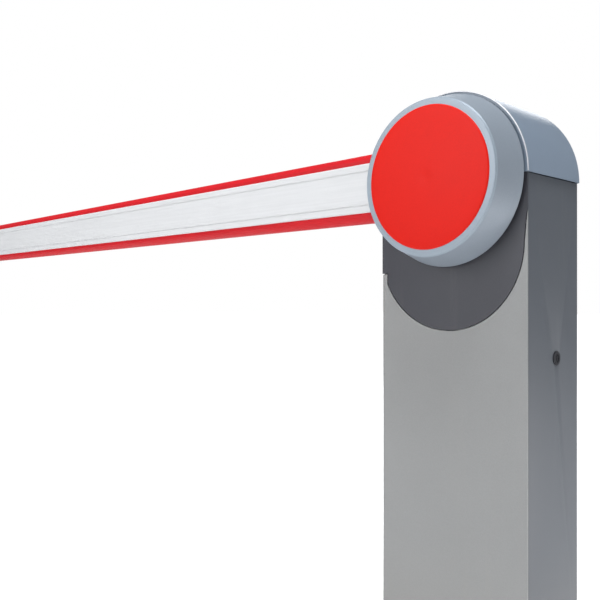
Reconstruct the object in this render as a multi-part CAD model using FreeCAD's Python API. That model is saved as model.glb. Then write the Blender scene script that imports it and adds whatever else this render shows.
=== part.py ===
import FreeCAD, Part
import math
import os

# Parking barrier gate. Millimetres. X runs along the boom (its tip is at -X), Y runs into the
# cabinet from its front, Z is up. The origin is the middle of the anchor bolts, under the base.

V = FreeCAD.Vector
os.makedirs("parts", exist_ok=True)

# --- driving dimensions: cabinet ---
cabinet_width = 303.0
cabinet_depth = 176.0
sheet = 2.0                       # folded steel sheet
corner_radius = 5.0               # rounded rear corners
base_thickness = 8.0
axis_height = 860.0               # boom shaft above the ground
joint_gap = 1.5                   # visible seam between panels
panel_gap = 0.8                   # between a front panel and the wall behind its edge

anchor_spacing_x = 250.0
anchor_spacing_y = 120.0
anchor_hole_radius = 6.5
cable_opening_right = -5.0
cable_opening_width = 100.0
cable_opening_depth = 60.0

dome_overhang = 3.5               # dome beyond the side walls
dome_rise = 2.0                   # seam between the side walls and the dome
dome_gap = 3.1                    # dome front behind the drum's back face
trim_height = 0.8
trim_depth = 1.6
dome_screw_spacing = 100.0
dome_screw_rise = 60.0
dome_screw_radius = 4.5
dome_screw_head = 3.0

bib_offset_x = -4.0               # centre of the dark cover's round lower edge
horn_width = 6.2                  # door beside the dark cover, at the right
bib_drop = 112.0                  # arc centre below the boom shaft
bib_step_drop = 158.0             # step at the left edge, below the boom shaft
bib_step_width = 13.5
horn_drop = 62.0                  # top of the door's right horn, below the boom shaft
hub_hole_clearance = 4.0
spacer_radius = 6.0
spacer_spread = 80.0
spacer_rise = 40.0
spacer_drop = 130.0

# --- driving dimensions: drum and boom ---
drum_back_radius = 150.0
drum_front_radius = 134.0
drum_length = 59.3
drum_stand_off = 6.6              # drum back face in front of the cabinet
drum_wall = 6.0
drum_back_wall = 8.0
slot_start = 80.0                 # boom slot in the drum wall, from the shaft axis outwards
slot_clearance = 2.0
ring_thickness = 4.0
ring_inner_radius = 119.0
disc_radius = 123.3
disc_height = 5.0
disc_edge_radius = 3.5
disc_wall = 3.0
clamp_bolt_radius = 5.0
clamp_bolt_spread = 50.0
clamp_boss_radius = 11.0
clamp_boss_floor = 4.0
clamp_plate_half = 65.0
clamp_plate_thickness = 6.0
clamp_head_radius = 8.0
clamp_head_height = 6.0

boom_reach = 3000.0               # shaft axis to boom tip
boom_tail = 95.0                  # boom behind the shaft axis, inside the drum
boom_height = 92.0
boom_thickness = 36.0
boom_wall = 2.5
boom_corner = 3.0
chamber_height = 18.0             # upper and lower chambers of the hollow profile
edge_height = 19.0                # rubber edge beyond the aluminium
edge_wall = 3.0
edge_inset = 2.0
edge_shoulder = 0.35              # share of the edge height that stays straight
groove_width = 3.0
groove_depth = 1.2
upper_groove_height = 31.0
lower_groove_height = -32.0
tip_cap_thickness = 4.0
tip_cap_corner = 12.0
insert_clearance = 0.2
insert_start = 85.0

# --- driving dimensions: shafts, bearings and levers ---
shaft_radius = 17.5
shaft_end_radius = 12.0
shaft_end_length = 18.0           # beyond the levers
nut_height = 8.0
hub_radius = 42.0
hub_projection = 4.0              # hub behind the front cover
bearing_radius = 36.0
bearing_width = 17.0
bearing_inset = 2.0
bearing_shoulder = 6.0
ball_radius = 4.7
ball_count = 10
race_lip = 3.2                    # race edge from the ball circle
housing_rear = -10.0
housing_wall = 12.0
housing_flange = 10.0
housing_flange_width = 24.0
running_clearance = 0.05
soft_clearance = 0.3

lever_radius = 60.0               # rocker and crank arms, equal so that they turn together
lever_angle = 225.0               # rod pin direction at rest
spring_pin_angle = 45.0
lever_width = 32.0
lever_thickness = 12.0
lever_front = -4.0
lever_gap = 2.0                   # between the levers and the links beside them
pin_radius = 7.0
pin_head = 3.0
crank_drop = 240.0                # gearbox shaft below the boom shaft
output_radius = 14.0
output_length = 30.0              # output shaft inside the gearbox
crank_hub_wall = 12.0
eye_radius = 17.0
rod_radius = 8.0
rod_thread_radius = 6.0
rod_thread_length = 35.0
rod_thread_start = 10.0
shank_end = 25.0                  # rod tube from each pin
shank_bore = 20.0

# --- driving dimensions: frame, gearbox and motor ---
plate_thickness = 8.0
plate_front = -78.0
plate_inset = 33.5                # mechanism plate and posts from the side walls
plate_rise = 75.0                 # above the boom shaft
plate_drop = 35.0                 # below the gearbox shaft
plate_corner = 25.0
upright_size = 30.0
upright_wall = 3.0
wall_bracket_heights = (220.0, 780.0)
wall_bracket_depth = 20.0
wall_bracket_thickness = 4.0
gearbox_rear = -10.0
gearbox_lid = 8.0
gearbox_half = 55.0
gearbox_rise = 60.0               # above its shaft
gearbox_drop = 40.0
gearbox_corner = 10.0
gearbox_bolt_inset = 12.0
gearbox_bolt_radius = 5.0
motor_x = -10.0
motor_y = -40.0
motor_radius = 34.0
motor_length = 150.0
motor_groove = 2.4
motor_grooves = 24
motor_cap_height = 25.0
motor_cap_edge = 6.0
capacitor_x = 62.0
capacitor_drop = 135.0            # below the boom shaft
capacitor_radius = 18.0
capacitor_rear = -14.0
capacitor_clamp = 4.0

# --- driving dimensions: balance spring, stops and switches ---
spring_radius = 22.0
spring_wire = 6.0
spring_bottom = 120.0
spring_turns = 40
spring_collar = 6.0
hanger_length = 327.0
hanger_eye_radius = 15.0
hanger_half_width = 8.0
anchor_half_width = 24.0
anchor_half_depth = 22.0
anchor_wall = 6.0
anchor_top = 90.0
anchor_rod_radius = 6.0
anchor_rod_bottom = 56.0
anchor_nut_radius = 10.0
anchor_nut_height = 10.0

buffer_radius = 6.0
buffer_length = 10.0
stop_bolt_radius = 4.0
stop_bolt_length = 16.0
stop_head_radius = 7.0
stop_head_height = 4.0
stop_bracket_half = 13.0
stop_bracket_reach = 7.0
stop_bracket_thickness = 6.0

switch_base = 34.0                # switch underside above the shaft axis
switch_half_width = 14.0
switch_height = 15.0
switch_width = 8.0
switch_pitch = 10.0
switch_roller = 2.5
switch_bracket_thickness = 4.0
cam_radius = 28.0
cam_lift = 4.0
cam_lobe_radius = 8.0

# --- driving dimensions: control box ---
box_inset = 11.5                  # from the left wall
box_width = 120.0
box_front = -5.0
box_bottom = 130.0
box_top = 370.0
box_wall = 3.0
box_lid_depth = 6.0
box_lid_edge = 3.0
gland_inset = 30.0
gland_radius = 8.0
gland_nut_radius = 12.0
gland_nut_height = 12.0
gland_bore = 5.0
board_margin = 12.0
board_end_margin = 20.0
board_thickness = 2.0
board_stand_off = 8.0
board_post_radius = 3.0
transformer_width = 40.0
transformer_height = 45.0
transformer_depth = 35.0
terminal_count = 4
terminal_pitch = 20.0
terminal_width = 16.0
terminal_depth = 14.0
smoother_radius = 9.0
smoother_length = 28.0

# --- driving dimensions: door and locks ---
door_ground_gap = 14.0
door_edge_radius = 1.8            # rounded right edge
flange_depth = 12.0               # folded inner flanges of the door
flange_inset = 4.5
stiffener_half_width = 22.0
stiffener_inner = 14.0
stiffener_depth = 5.0
stiffener_wall = 1.5
stiffener_bottom = 60.0
stiffener_top = 560.0
pivot_pin_radius = 1.5
pivot_wall = 0.5                  # pivot bracket left round its pin
pivot_pin_length = 26.0
pivot_bracket_thickness = 5.0
pivot_bracket_depth = 14.0
pivot_end_gap = 0.4               # between the lower bracket and the door

door_lock_height = 75.0
door_lock_bore = 9.0
door_lock_flange = 3.0
door_lock_flange_height = 1.5
door_lock_length = 14.0
door_lock_nut = 5.0
door_core_radius = 6.0
key_hexagon_radius = 3.5
door_cam_gap = 0.5
door_cam_thickness = 3.0
door_cam_length = 24.0

lock_height = 553.0
lock_depth = 7.4                  # lock centre behind the middle of the cabinet
lock_radius = 12.0
lock_flange_height = 1.5
lock_wall = 2.0
lock_length = 28.0
lock_nut = 6.0
lock_core_radius = 7.0
lock_cam_length = 30.0
key_slot_width = 1.6
key_slot_height = 9.0

over = 1.0                        # how far a cutting shape reaches past the face it cuts

# --- places worked out from them ---
half_width = cabinet_width / 2
dome_radius = half_width + dome_overhang
bib_radius = half_width - horn_width - bib_offset_x
plate_width = cabinet_width - 2 * plate_inset
door_lock_side = half_width - plate_inset
box_left = -half_width + box_inset
box_right = box_left + box_width
pivot_radius = sheet + pivot_wall + pivot_pin_radius   # rolled left edge of the door
front = -cabinet_depth / 2
rear = cabinet_depth / 2
wall_front = front + sheet + panel_gap
drum_back = front - drum_stand_off
drum_front = drum_back - drum_length
boom_rear = drum_back - drum_back_wall
boom_front = boom_rear - boom_thickness
chamber_front = boom_front + boom_wall + groove_depth
plate_rear = plate_front + plate_thickness
lever_rear = lever_front + lever_thickness
lever_middle = (lever_front + lever_rear) / 2
link_front = lever_rear + lever_gap
link_rear = link_front + lever_thickness
crank_height = axis_height - crank_drop
plate_bottom = crank_height - plate_drop
plate_top = axis_height + plate_rise
gearbox_bottom = crank_height - gearbox_drop
gearbox_top = crank_height + gearbox_rise
capacitor_height = axis_height - capacitor_drop
bib_centre = V(bib_offset_x, 0, axis_height - bib_drop)
step_height = axis_height - bib_step_drop
horn_height = axis_height - horn_drop
dome_front = drum_back + dome_gap
pivot_x = -half_width + pivot_radius
pivot_y = front + pivot_radius
left_wall_front = pivot_y + pivot_radius + panel_gap
link_middle = (link_front + link_rear) / 2
shaft_rear = link_rear + shaft_end_length
gearbox_split = gearbox_rear - gearbox_lid
motor_bottom = gearbox_bottom - motor_length
box_back = rear - sheet
box_middle_x = (box_left + box_right) / 2
box_middle_y = (box_front + box_back) / 2


def turned(angle):
    """Point on a lever circle, in the plane across the shafts."""
    a = math.radians(angle)
    return V(lever_radius * math.cos(a), 0, lever_radius * math.sin(a))


rod_pin = turned(lever_angle)
spring_pin = turned(spring_pin_angle)


def block(x0, x1, y0, y1, z0, z1):
    return Part.makeBox(x1 - x0, y1 - y0, z1 - z0, V(x0, y0, z0))


def round_y(radius, x, z, y0, y1):
    return Part.makeCylinder(radius, y1 - y0, V(x, y0, z), V(0, 1, 0))


def round_x(radius, y, z, x0, x1):
    return Part.makeCylinder(radius, x1 - x0, V(x0, y, z), V(1, 0, 0))


def round_z(radius, x, y, z0, z1):
    return Part.makeCylinder(radius, z1 - z0, V(x, y, z0))


def tube_y(outer, inner, x, z, y0, y1):
    return round_y(outer, x, z, y0, y1).cut(round_y(inner, x, z, y0 - over, y1 + over))


def hexagon_y(radius, x, z, y0, y1):
    points = []
    for k in range(7):
        a = math.radians(60 * k)
        points.append(V(x + radius * math.cos(a), y0, z + radius * math.sin(a)))
    return Part.Face(Part.makePolygon(points)).extrude(V(0, y1 - y0, 0))


def save(name, *solids):
    shape = Part.makeCompound(list(solids)) if len(solids) > 1 else solids[0]
    shape.exportStep("parts/" + name + ".step")


def half_disc(radius, y0, y1, base):
    """Disc about the boom axis, cut off below the height base."""
    disc = round_y(radius, 0, axis_height, y0, y1)
    side = radius + over
    return disc.common(block(-side, side, y0, y1, base, axis_height + side))


def edges_at(solid, x, y):
    """Upright edges of a block at the distance x on both sides of the middle, at the depth y."""
    return [e for e in solid.Edges if abs(abs(e.CenterOfMass.x) - x) < 0.01
            and abs(e.CenterOfMass.y - y) < 0.01]


# --- cabinet ---

def base_plate():
    plate = block(-half_width, half_width, front, rear, 0, base_thickness)
    for sx in (-1, 1):
        for sy in (-1, 1):
            x = sx * anchor_spacing_x / 2
            y = sy * anchor_spacing_y / 2
            plate = plate.cut(round_z(anchor_hole_radius, x, y, -over, base_thickness + over))
    return plate.cut(cable_opening(-over, base_thickness + over))


def cable_opening(z0, z1):
    side = cable_opening_depth / 2
    return block(cable_opening_right - cable_opening_width, cable_opening_right, -side, side, z0, z1)


def cabinet_shell():
    """Folded side and rear walls; the rear wall rises as an arch that closes the dome."""
    top = axis_height - dome_rise
    outer = block(-half_width, half_width, wall_front, rear, base_thickness, top)
    inner = block(-half_width + sheet, half_width - sheet, wall_front - over, rear - sheet,
                  base_thickness - over, top + over)
    shell = outer.makeFillet(corner_radius, edges_at(outer, half_width, rear))
    shell = shell.cut(inner.makeFillet(corner_radius - sheet,
                                       edges_at(inner, half_width - sheet, rear - sheet)))
    neck = half_width - corner_radius
    arch = half_disc(dome_radius - sheet, rear - sheet, rear, axis_height)
    arch = arch.fuse(block(-neck, neck, rear - sheet, rear, top - sheet, axis_height))
    shell = shell.fuse(arch).removeSplitter()
    pivot_side = block(-half_width - over, -half_width + sheet + over / 2, wall_front - over,
                       left_wall_front, base_thickness - over, top + over)
    hole = round_x(lock_radius - lock_wall, lock_depth, lock_height, half_width - sheet - over,
                   half_width + over)
    return shell.cut(pivot_side).cut(hole)


def dome_cover():
    top = tube_y(dome_radius, dome_radius - sheet, 0, axis_height, dome_front, rear + sheet)
    back = round_y(dome_radius, 0, axis_height, rear, rear + sheet)
    side = dome_radius + over
    above = block(-side, side, dome_front - over, rear + sheet + over, axis_height, axis_height + side)
    return top.fuse(back).common(above).removeSplitter()


def dome_trim():
    radius = dome_radius + trim_height
    ring = tube_y(radius, dome_radius - sheet, 0, axis_height, dome_front - trim_depth, dome_front)
    side = radius + over
    return ring.common(block(-side, side, dome_front - trim_depth - over, dome_front + over,
                             axis_height, axis_height + side))


def dome_screws():
    made = []
    z = axis_height + dome_screw_rise
    y0 = rear + sheet
    socket = dome_screw_head / 2
    for k in (-1, 0, 1):
        x = k * dome_screw_spacing
        head = round_y(dome_screw_radius, x, z, y0, y0 + dome_screw_head)
        made.append(head.cut(hexagon_y(socket + 0.5, x, z, y0 + socket, y0 + dome_screw_head + over)))
    return made


def bib_face(grow, y):
    """Outline of the dark cover below the dome; grow moves its lower edge out into the seam."""
    r = bib_radius + grow
    left = -half_width + bib_step_width - grow
    cz = bib_centre.z
    cx = bib_centre.x
    drop = math.sqrt(r * r - (left - cx) ** 2)
    a = V(-half_width, y, axis_height)
    b = V(-half_width, y, step_height - grow)
    c = V(left, y, step_height - grow)
    d = V(left, y, cz - drop)
    bottom = V(cx, y, cz - r)
    e = V(cx + r, y, cz)
    f = V(half_width - joint_gap + grow, y, horn_height)
    g = V(half_width, y, horn_height)
    h = V(half_width, y, axis_height)
    edges = [Part.makeLine(a, b), Part.makeLine(b, c), Part.makeLine(c, d),
             Part.Arc(d, bottom, e).toShape(), Part.makeLine(e, f)]
    if f.distanceToPoint(g) > 0.01:
        edges.append(Part.makeLine(f, g))
    edges.append(Part.makeLine(g, h))
    edges.append(Part.makeLine(h, a))
    return Part.Face(Part.Wire(edges))


def front_cover():
    plate = bib_face(0, front).extrude(V(0, sheet, 0))
    upper = half_disc(dome_radius - sheet, front, front + sheet, axis_height)
    left = block(-half_width, -half_width + sheet, front, left_wall_front - panel_gap,
                 step_height, axis_height)
    cover = plate.fuse(upper).fuse(left).removeSplitter()
    return cover.cut(round_y(hub_radius + hub_hole_clearance, 0, axis_height, front - over,
                             front + sheet + over))


def cover_spacers():
    made = []
    for side in (-1, 1):
        for z in (axis_height + spacer_rise, axis_height - spacer_drop):
            made.append(round_y(spacer_radius, side * spacer_spread, z, front + sheet, plate_front))
    return made


def uprights():
    """Channel posts, each with two welded brackets that hold the side wall."""
    made = []
    outside = plate_width / 2
    wall = half_width - sheet
    lip = upright_wall + over
    for side in (-1, 1):
        x0 = min(side * outside, side * (outside - upright_size))
        post = block(x0, x0 + upright_size, plate_rear, plate_rear + upright_size,
                     base_thickness, plate_top - upright_wall - sheet)
        post = post.cut(block(x0 + upright_wall, x0 + upright_size - upright_wall,
                              plate_rear + upright_wall, plate_rear + upright_size + over,
                              2 * base_thickness, plate_top))
        for z in wall_bracket_heights:
            post = post.fuse(block(min(side * outside, side * wall), max(side * outside, side * wall),
                                   plate_rear + lip, plate_rear + lip + wall_bracket_depth,
                                   z, z + wall_bracket_thickness))
        made.append(post)
    return made


def mechanism_plate():
    plate = block(-plate_width / 2, plate_width / 2, plate_front, plate_rear,
                  plate_bottom, plate_top)
    middle = (plate_front + plate_rear) / 2
    corner_edges = [e for e in edges_at(plate, plate_width / 2, middle)
                    if e.CenterOfMass.z > plate_top - over]
    plate = plate.makeFillet(plate_corner, corner_edges)
    return plate.cut(round_y(bearing_radius - bearing_shoulder, 0, axis_height,
                             plate_front - over, plate_rear + over))


def bearing_housing():
    body = round_y(bearing_radius + housing_wall, 0, axis_height, plate_rear, housing_rear)
    body = body.fuse(round_y(bearing_radius + housing_flange_width, 0, axis_height, plate_rear,
                             plate_rear + housing_flange))
    for y0, y1 in bearing_places():
        body = body.cut(round_y(bearing_radius, 0, axis_height, y0, y1))
    body = body.cut(round_y(bearing_radius, 0, axis_height, plate_rear - over,
                            plate_rear + bearing_inset))
    body = body.cut(round_y(bearing_radius, 0, axis_height, housing_rear - bearing_inset,
                            housing_rear + over))
    return body.cut(round_y(bearing_radius - bearing_shoulder, 0, axis_height, plate_rear - over,
                            housing_rear + over))


def bearing_places():
    first = plate_rear + bearing_inset
    last = housing_rear - bearing_inset
    return [(first, first + bearing_width), (last - bearing_width, last)]


def bearing_rings():
    outer = []
    inner = []
    balls = []
    pitch = (shaft_radius + bearing_radius) / 2
    for y0, y1 in bearing_places():
        middle = (y0 + y1) / 2
        groove = Part.makeTorus(pitch, ball_radius + soft_clearance, V(0, middle, axis_height),
                                V(0, 1, 0))
        outer.append(tube_y(bearing_radius, pitch + race_lip, 0, axis_height, y0, y1).cut(groove))
        inner.append(tube_y(pitch - race_lip, shaft_radius, 0, axis_height, y0, y1).cut(groove))
        for k in range(ball_count):
            a = 2 * math.pi * k / ball_count
            balls.append(Part.makeSphere(ball_radius, V(pitch * math.cos(a), middle,
                                                        axis_height + pitch * math.sin(a))))
    return outer, inner, balls


def gearbox_housing():
    body = block(-gearbox_half, gearbox_half, plate_rear, gearbox_split, gearbox_bottom, gearbox_top)
    middle = (plate_rear + gearbox_split) / 2
    edges = [e for e in body.Edges if abs(e.CenterOfMass.y - middle) < 0.01]
    body = body.makeFillet(gearbox_corner, edges)
    return body.cut(round_y(output_radius + running_clearance, 0, crank_height,
                            gearbox_rear - output_length - sheet, gearbox_split + over))


def gearbox_cover():
    cover = block(-gearbox_half, gearbox_half, gearbox_split, gearbox_rear, gearbox_bottom, gearbox_top)
    middle = (gearbox_split + gearbox_rear) / 2
    edges = [e for e in cover.Edges if abs(e.CenterOfMass.y - middle) < 0.01]
    cover = cover.makeFillet(gearbox_corner, edges)
    cover = cover.cut(round_y(output_radius + running_clearance, 0, crank_height,
                              gearbox_split - over, gearbox_rear + over))
    for side in (-1, 1):
        for z in (gearbox_bottom + gearbox_bolt_inset, gearbox_top - gearbox_bolt_inset):
            x = side * (gearbox_half - gearbox_bolt_inset)
            cover = cover.fuse(hexagon_y(gearbox_bolt_radius, x, z, gearbox_rear,
                                         gearbox_rear + gearbox_bolt_radius - over))
    return cover


def motor_casing():
    casing = round_z(motor_radius, motor_x, motor_y, motor_bottom, gearbox_bottom)
    half = motor_groove / 2
    for k in range(motor_grooves):
        a = 2 * math.pi * k / motor_grooves
        groove = block(-half, half, -half, half, motor_bottom + motor_cap_edge,
                       gearbox_bottom - motor_cap_height)
        groove.translate(V(motor_x + motor_radius * math.cos(a),
                           motor_y + motor_radius * math.sin(a), 0))
        casing = casing.cut(groove)
    return casing


def motor_end_cap():
    low = motor_bottom - motor_cap_height
    cap = round_z(motor_radius, motor_x, motor_y, low, motor_bottom)
    edges = [e for e in cap.Edges if abs(e.CenterOfMass.z - low) < 0.01]
    return cap.makeFillet(motor_cap_edge, edges)


def capacitor():
    can = round_y(capacitor_radius, capacitor_x, capacitor_height, plate_rear, capacitor_rear)
    return can.fuse(round_y(capacitor_radius + capacitor_clamp, capacitor_x, capacitor_height,
                            plate_rear, plate_rear + 2 * capacitor_clamp))


# --- balance spring ---

def balance_spring():
    """Close-wound extension spring between two plugs."""
    x = spring_pin.x
    top = axis_height + spring_pin.z - hanger_length
    plug = 2 * spring_wire
    turn_radius = spring_radius - spring_wire / 2
    height = top - spring_bottom - 2 * plug
    helix = Part.makeHelix(height / spring_turns, height, turn_radius)
    section = Part.Wire([Part.makeCircle(spring_wire / 2, V(turn_radius, 0, 0), V(0, 1, 0))])
    coil = Part.Wire(helix.Edges).makePipeShell([section], True, True)
    coil.translate(V(x, link_middle, spring_bottom + plug))
    core = turn_radius - spring_wire / 2 - soft_clearance
    low = round_z(core, x, link_middle, spring_bottom, spring_bottom + plug)
    low = low.fuse(round_z(spring_radius, x, link_middle, spring_bottom, spring_bottom + spring_collar))
    high = round_z(core, x, link_middle, top - plug, top)
    high = high.fuse(round_z(spring_radius, x, link_middle, top - spring_collar, top))
    return [coil, low, high]


def spring_anchor_bracket():
    """Welded box on the base plate that the threaded anchor rod passes through."""
    x0 = spring_pin.x - anchor_half_width
    x1 = spring_pin.x + anchor_half_width
    y0 = link_middle - anchor_half_depth
    y1 = link_middle + anchor_half_depth
    outer = block(x0, x1, y0, y1, base_thickness, anchor_top)
    inner = block(x0 + anchor_wall, x1 - anchor_wall, y0 - over, y1 + over,
                  base_thickness + anchor_wall, anchor_top - anchor_wall)
    hole = round_z(anchor_rod_radius + running_clearance, spring_pin.x, link_middle,
                   anchor_top - anchor_wall - over, anchor_top + over)
    return outer.cut(inner).cut(hole)


def spring_anchor_rod():
    nut_top = anchor_top - anchor_wall
    rod = round_z(anchor_rod_radius, spring_pin.x, link_middle, anchor_rod_bottom, spring_bottom)
    return rod.fuse(round_z(anchor_nut_radius, spring_pin.x, link_middle,
                            nut_top - anchor_nut_height, nut_top))


# --- stops and switches ---

def stop_heights():
    tip = lever_width / 2 + soft_clearance
    return axis_height + spring_pin.z + tip, axis_height - spring_pin.z - tip


def stop_spans(start, end):
    """Heights of the same piece on the upper and the lower stop, outwards from the lever."""
    high, low = stop_heights()
    return [(high + start, high + end), (low - end, low - start)]


def stop_buffers():
    return [round_z(buffer_radius, spring_pin.x, lever_middle, z0, z1)
            for z0, z1 in stop_spans(0, buffer_length)]


def stop_bolts():
    end = buffer_length + stop_bolt_length
    made = []
    for shank, head in zip(stop_spans(buffer_length, end), stop_spans(end - stop_head_height, end)):
        bolt = round_z(stop_bolt_radius, spring_pin.x, lever_middle, *shank)
        made.append(bolt.fuse(round_z(stop_head_radius, spring_pin.x, lever_middle, *head)))
    return made


def stop_brackets():
    start = buffer_length + stop_head_height
    made = []
    for z0, z1 in stop_spans(start, start + stop_bracket_thickness):
        arm = block(spring_pin.x - stop_bracket_half, spring_pin.x + stop_bracket_half, plate_rear,
                    lever_middle + stop_bracket_reach, z0, z1)
        made.append(arm.cut(round_z(stop_bolt_radius, spring_pin.x, lever_middle, z0 - over, z1 + over)))
    return made


def switch_places():
    """Near and far faces of the two switches and their cams along the shaft."""
    first = link_front + over
    return [(first, first + switch_width), (first + switch_pitch, first + switch_pitch + switch_width)]


def switch_bracket():
    z0 = axis_height + switch_base + switch_height + over
    return block(-switch_half_width, switch_half_width, plate_rear + housing_flange,
                 link_rear + switch_width, z0, z0 + switch_bracket_thickness)


def limit_switches():
    z0 = axis_height + switch_base + over
    made = []
    for y0, y1 in switch_places():
        body = block(-switch_half_width, switch_half_width, y0, y1, z0, z0 + switch_height)
        made.append(body.fuse(round_y(switch_roller, 0, z0 - soft_clearance + 0.1, y0 + over, y1 - over)))
    return made


def switch_cams():
    made = []
    reach = cam_radius - cam_lobe_radius
    for (y0, y1), lobe in zip(switch_places(), (math.pi / 2, 0.0)):
        disc = round_y(cam_radius - cam_lift, 0, axis_height, y0, y1)
        disc = disc.fuse(round_y(cam_lobe_radius, reach * math.cos(lobe),
                                 axis_height + reach * math.sin(lobe), y0, y1))
        made.append(disc.cut(round_y(shaft_end_radius, 0, axis_height, y0 - over, y1 + over)))
    return made


# --- control box ---

def control_box():
    outer = block(box_left, box_right, box_front, box_back, box_bottom, box_top)
    hollow = block(box_left + box_wall, box_right - box_wall, box_front - over, box_back - box_wall,
                   box_bottom + box_wall, box_top - box_wall)
    shell = outer.cut(hollow)
    for x in gland_places():
        shell = shell.cut(round_z(gland_radius, x, box_middle_y, box_bottom - over,
                                  box_bottom + box_wall + over))
    return shell


def gland_places():
    return [box_left + gland_inset, box_middle_x, box_right - gland_inset]


def control_box_lid():
    lid_front = box_front - box_lid_depth
    lid = block(box_left, box_right, lid_front, box_front, box_bottom, box_top)
    edges = [e for e in lid.Edges if abs(e.CenterOfMass.y - lid_front) < 0.01]
    return lid.makeFillet(box_lid_edge, edges)


def control_board():
    """Circuit board on four posts, with a transformer, four terminal blocks and a capacitor."""
    back = box_back - box_wall
    board_rear = back - board_stand_off
    face = board_rear - board_thickness
    left = box_left + board_end_margin
    board = block(box_left + board_margin, box_right - board_margin, face, board_rear,
                  box_bottom + board_end_margin, box_top - board_end_margin)
    for x in (left, box_right - board_end_margin):
        for z in (box_bottom + gland_inset, box_top - gland_inset):
            board = board.fuse(round_y(board_post_radius, x, z, board_rear, back))
    shelf = box_top - transformer_height
    board = board.fuse(block(left, left + transformer_width, face - transformer_depth, face,
                             shelf - transformer_height, shelf))
    for k in range(terminal_count):
        x = left + board_thickness + terminal_pitch * k
        z0 = box_bottom + 2 * board_end_margin
        board = board.fuse(block(x, x + terminal_width, face - terminal_depth, face,
                                 z0, z0 + terminal_depth))
    return board.fuse(round_y(smoother_radius, box_middle_x + board_end_margin + gland_bore,
                              box_top - 2 * gland_inset, face - smoother_length, face))


def cable_glands():
    made = []
    for x in gland_places():
        body = round_z(gland_radius, x, box_middle_y, box_bottom - over, box_bottom + 2 * box_wall + over)
        nut = round_z(gland_nut_radius, x, box_middle_y, box_bottom - gland_nut_height, box_bottom)
        bore = round_z(gland_bore, x, box_middle_y, box_bottom - gland_nut_height - over,
                       box_bottom + gland_nut_height)
        made.append(body.fuse(nut).cut(bore))
    return made


# --- drum and boom ---

def drum_radius_at(y):
    """Outer radius of the tapered drum at the depth y."""
    share = (drum_back - y) / drum_length
    return drum_back_radius - (drum_back_radius - drum_front_radius) * share


def drum_housing():
    """Tapered drum with a slot for the boom and four bosses for its clamp."""
    ring_back = drum_front + ring_thickness
    edge_radius = drum_radius_at(ring_back)
    outer = Part.makeCone(drum_back_radius, edge_radius, drum_back - ring_back,
                          V(0, drum_back, axis_height), V(0, -1, 0))
    inner = Part.makeCone(drum_back_radius - drum_wall, edge_radius - drum_wall,
                          drum_back - ring_back, V(0, drum_back, axis_height), V(0, -1, 0))
    size = drum_back_radius + over
    inner = inner.common(block(-size, size, ring_back - over, boom_rear,
                               axis_height - size, axis_height + size))
    drum = outer.cut(inner)
    for x, z in clamp_bolt_places():
        drum = drum.fuse(round_y(clamp_boss_radius, x, z, boom_front, boom_rear))
        drum = drum.cut(round_y(clamp_bolt_radius, x, z, boom_front - over,
                                boom_rear - clamp_boss_floor))
    side = boom_height / 2 + edge_height + slot_clearance
    drum = drum.cut(block(-size, -slot_start, boom_front - slot_clearance, boom_rear,
                          axis_height - side, axis_height + side))
    return drum.cut(round_y(shaft_radius, 0, axis_height, boom_rear - over, drum_back + over))


def clamp_bolt_places():
    z = boom_height / 2 + edge_height + slot_clearance + clamp_boss_radius
    return [(sx * clamp_bolt_spread, axis_height + sz * z) for sx in (-1, 1) for sz in (-1, 1)]


def drum_ring():
    back = drum_front + ring_thickness
    ring = Part.makeCone(drum_radius_at(back), drum_front_radius, ring_thickness,
                         V(0, back, axis_height), V(0, -1, 0))
    return ring.cut(round_y(ring_inner_radius, 0, axis_height, drum_front - over, back + over))


def disc_cover():
    """Domed red disc with a lip that fits inside the ring."""
    face = drum_front - disc_height
    disc = round_y(disc_radius, 0, axis_height, face, drum_front)
    front_edge = [e for e in disc.Edges if abs(e.CenterOfMass.y - face) < 0.01]
    disc = disc.makeFillet(disc_edge_radius, front_edge)
    inside = ring_inner_radius - disc_wall
    hollow = round_y(inside, 0, axis_height, face + disc_wall, drum_front + over)
    lip = tube_y(ring_inner_radius, inside, 0, axis_height, drum_front, drum_front + ring_thickness)
    return disc.cut(hollow).fuse(lip)


def clamp_plate():
    side = boom_height / 2 + edge_height + slot_clearance + 2 * clamp_boss_radius + over
    face = boom_front - clamp_plate_thickness
    plate = block(-clamp_plate_half, clamp_plate_half, face, boom_front,
                  axis_height - side, axis_height + side)
    for x, z in clamp_bolt_places():
        plate = plate.cut(round_y(clamp_bolt_radius, x, z, face - over, boom_front + over))
    return plate


def clamp_bolts():
    made = []
    face = boom_front - clamp_plate_thickness
    for x, z in clamp_bolt_places():
        shank = round_y(clamp_bolt_radius, x, z, face, boom_rear - clamp_boss_floor - sheet)
        made.append(shank.fuse(hexagon_y(clamp_head_radius, x, z, face - clamp_head_height, face)))
    return made


def boom_profile():
    """Extruded aluminium boom with three chambers and two shallow grooves on its front."""
    half = boom_height / 2
    outer = block(-boom_reach, boom_tail, boom_front, boom_rear, axis_height - half,
                  axis_height + half)
    edges = [e for e in outer.Edges if e.Length > boom_reach]
    outer = outer.makeFillet(boom_corner, edges)
    web = half - chamber_height
    for z0, z1 in ((-web + boom_wall, web - boom_wall), (web, half - boom_wall),
                   (-half + boom_wall, -web)):
        outer = outer.cut(block(-boom_reach - over, boom_tail + over, chamber_front,
                                boom_rear - boom_wall, axis_height + z0, axis_height + z1))
    for height in (upper_groove_height, lower_groove_height):
        z = axis_height + height
        outer = outer.cut(block(-boom_reach - over, boom_tail + over, boom_front - over,
                                boom_front + groove_depth, z - groove_width / 2,
                                z + groove_width / 2))
    return outer


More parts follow.
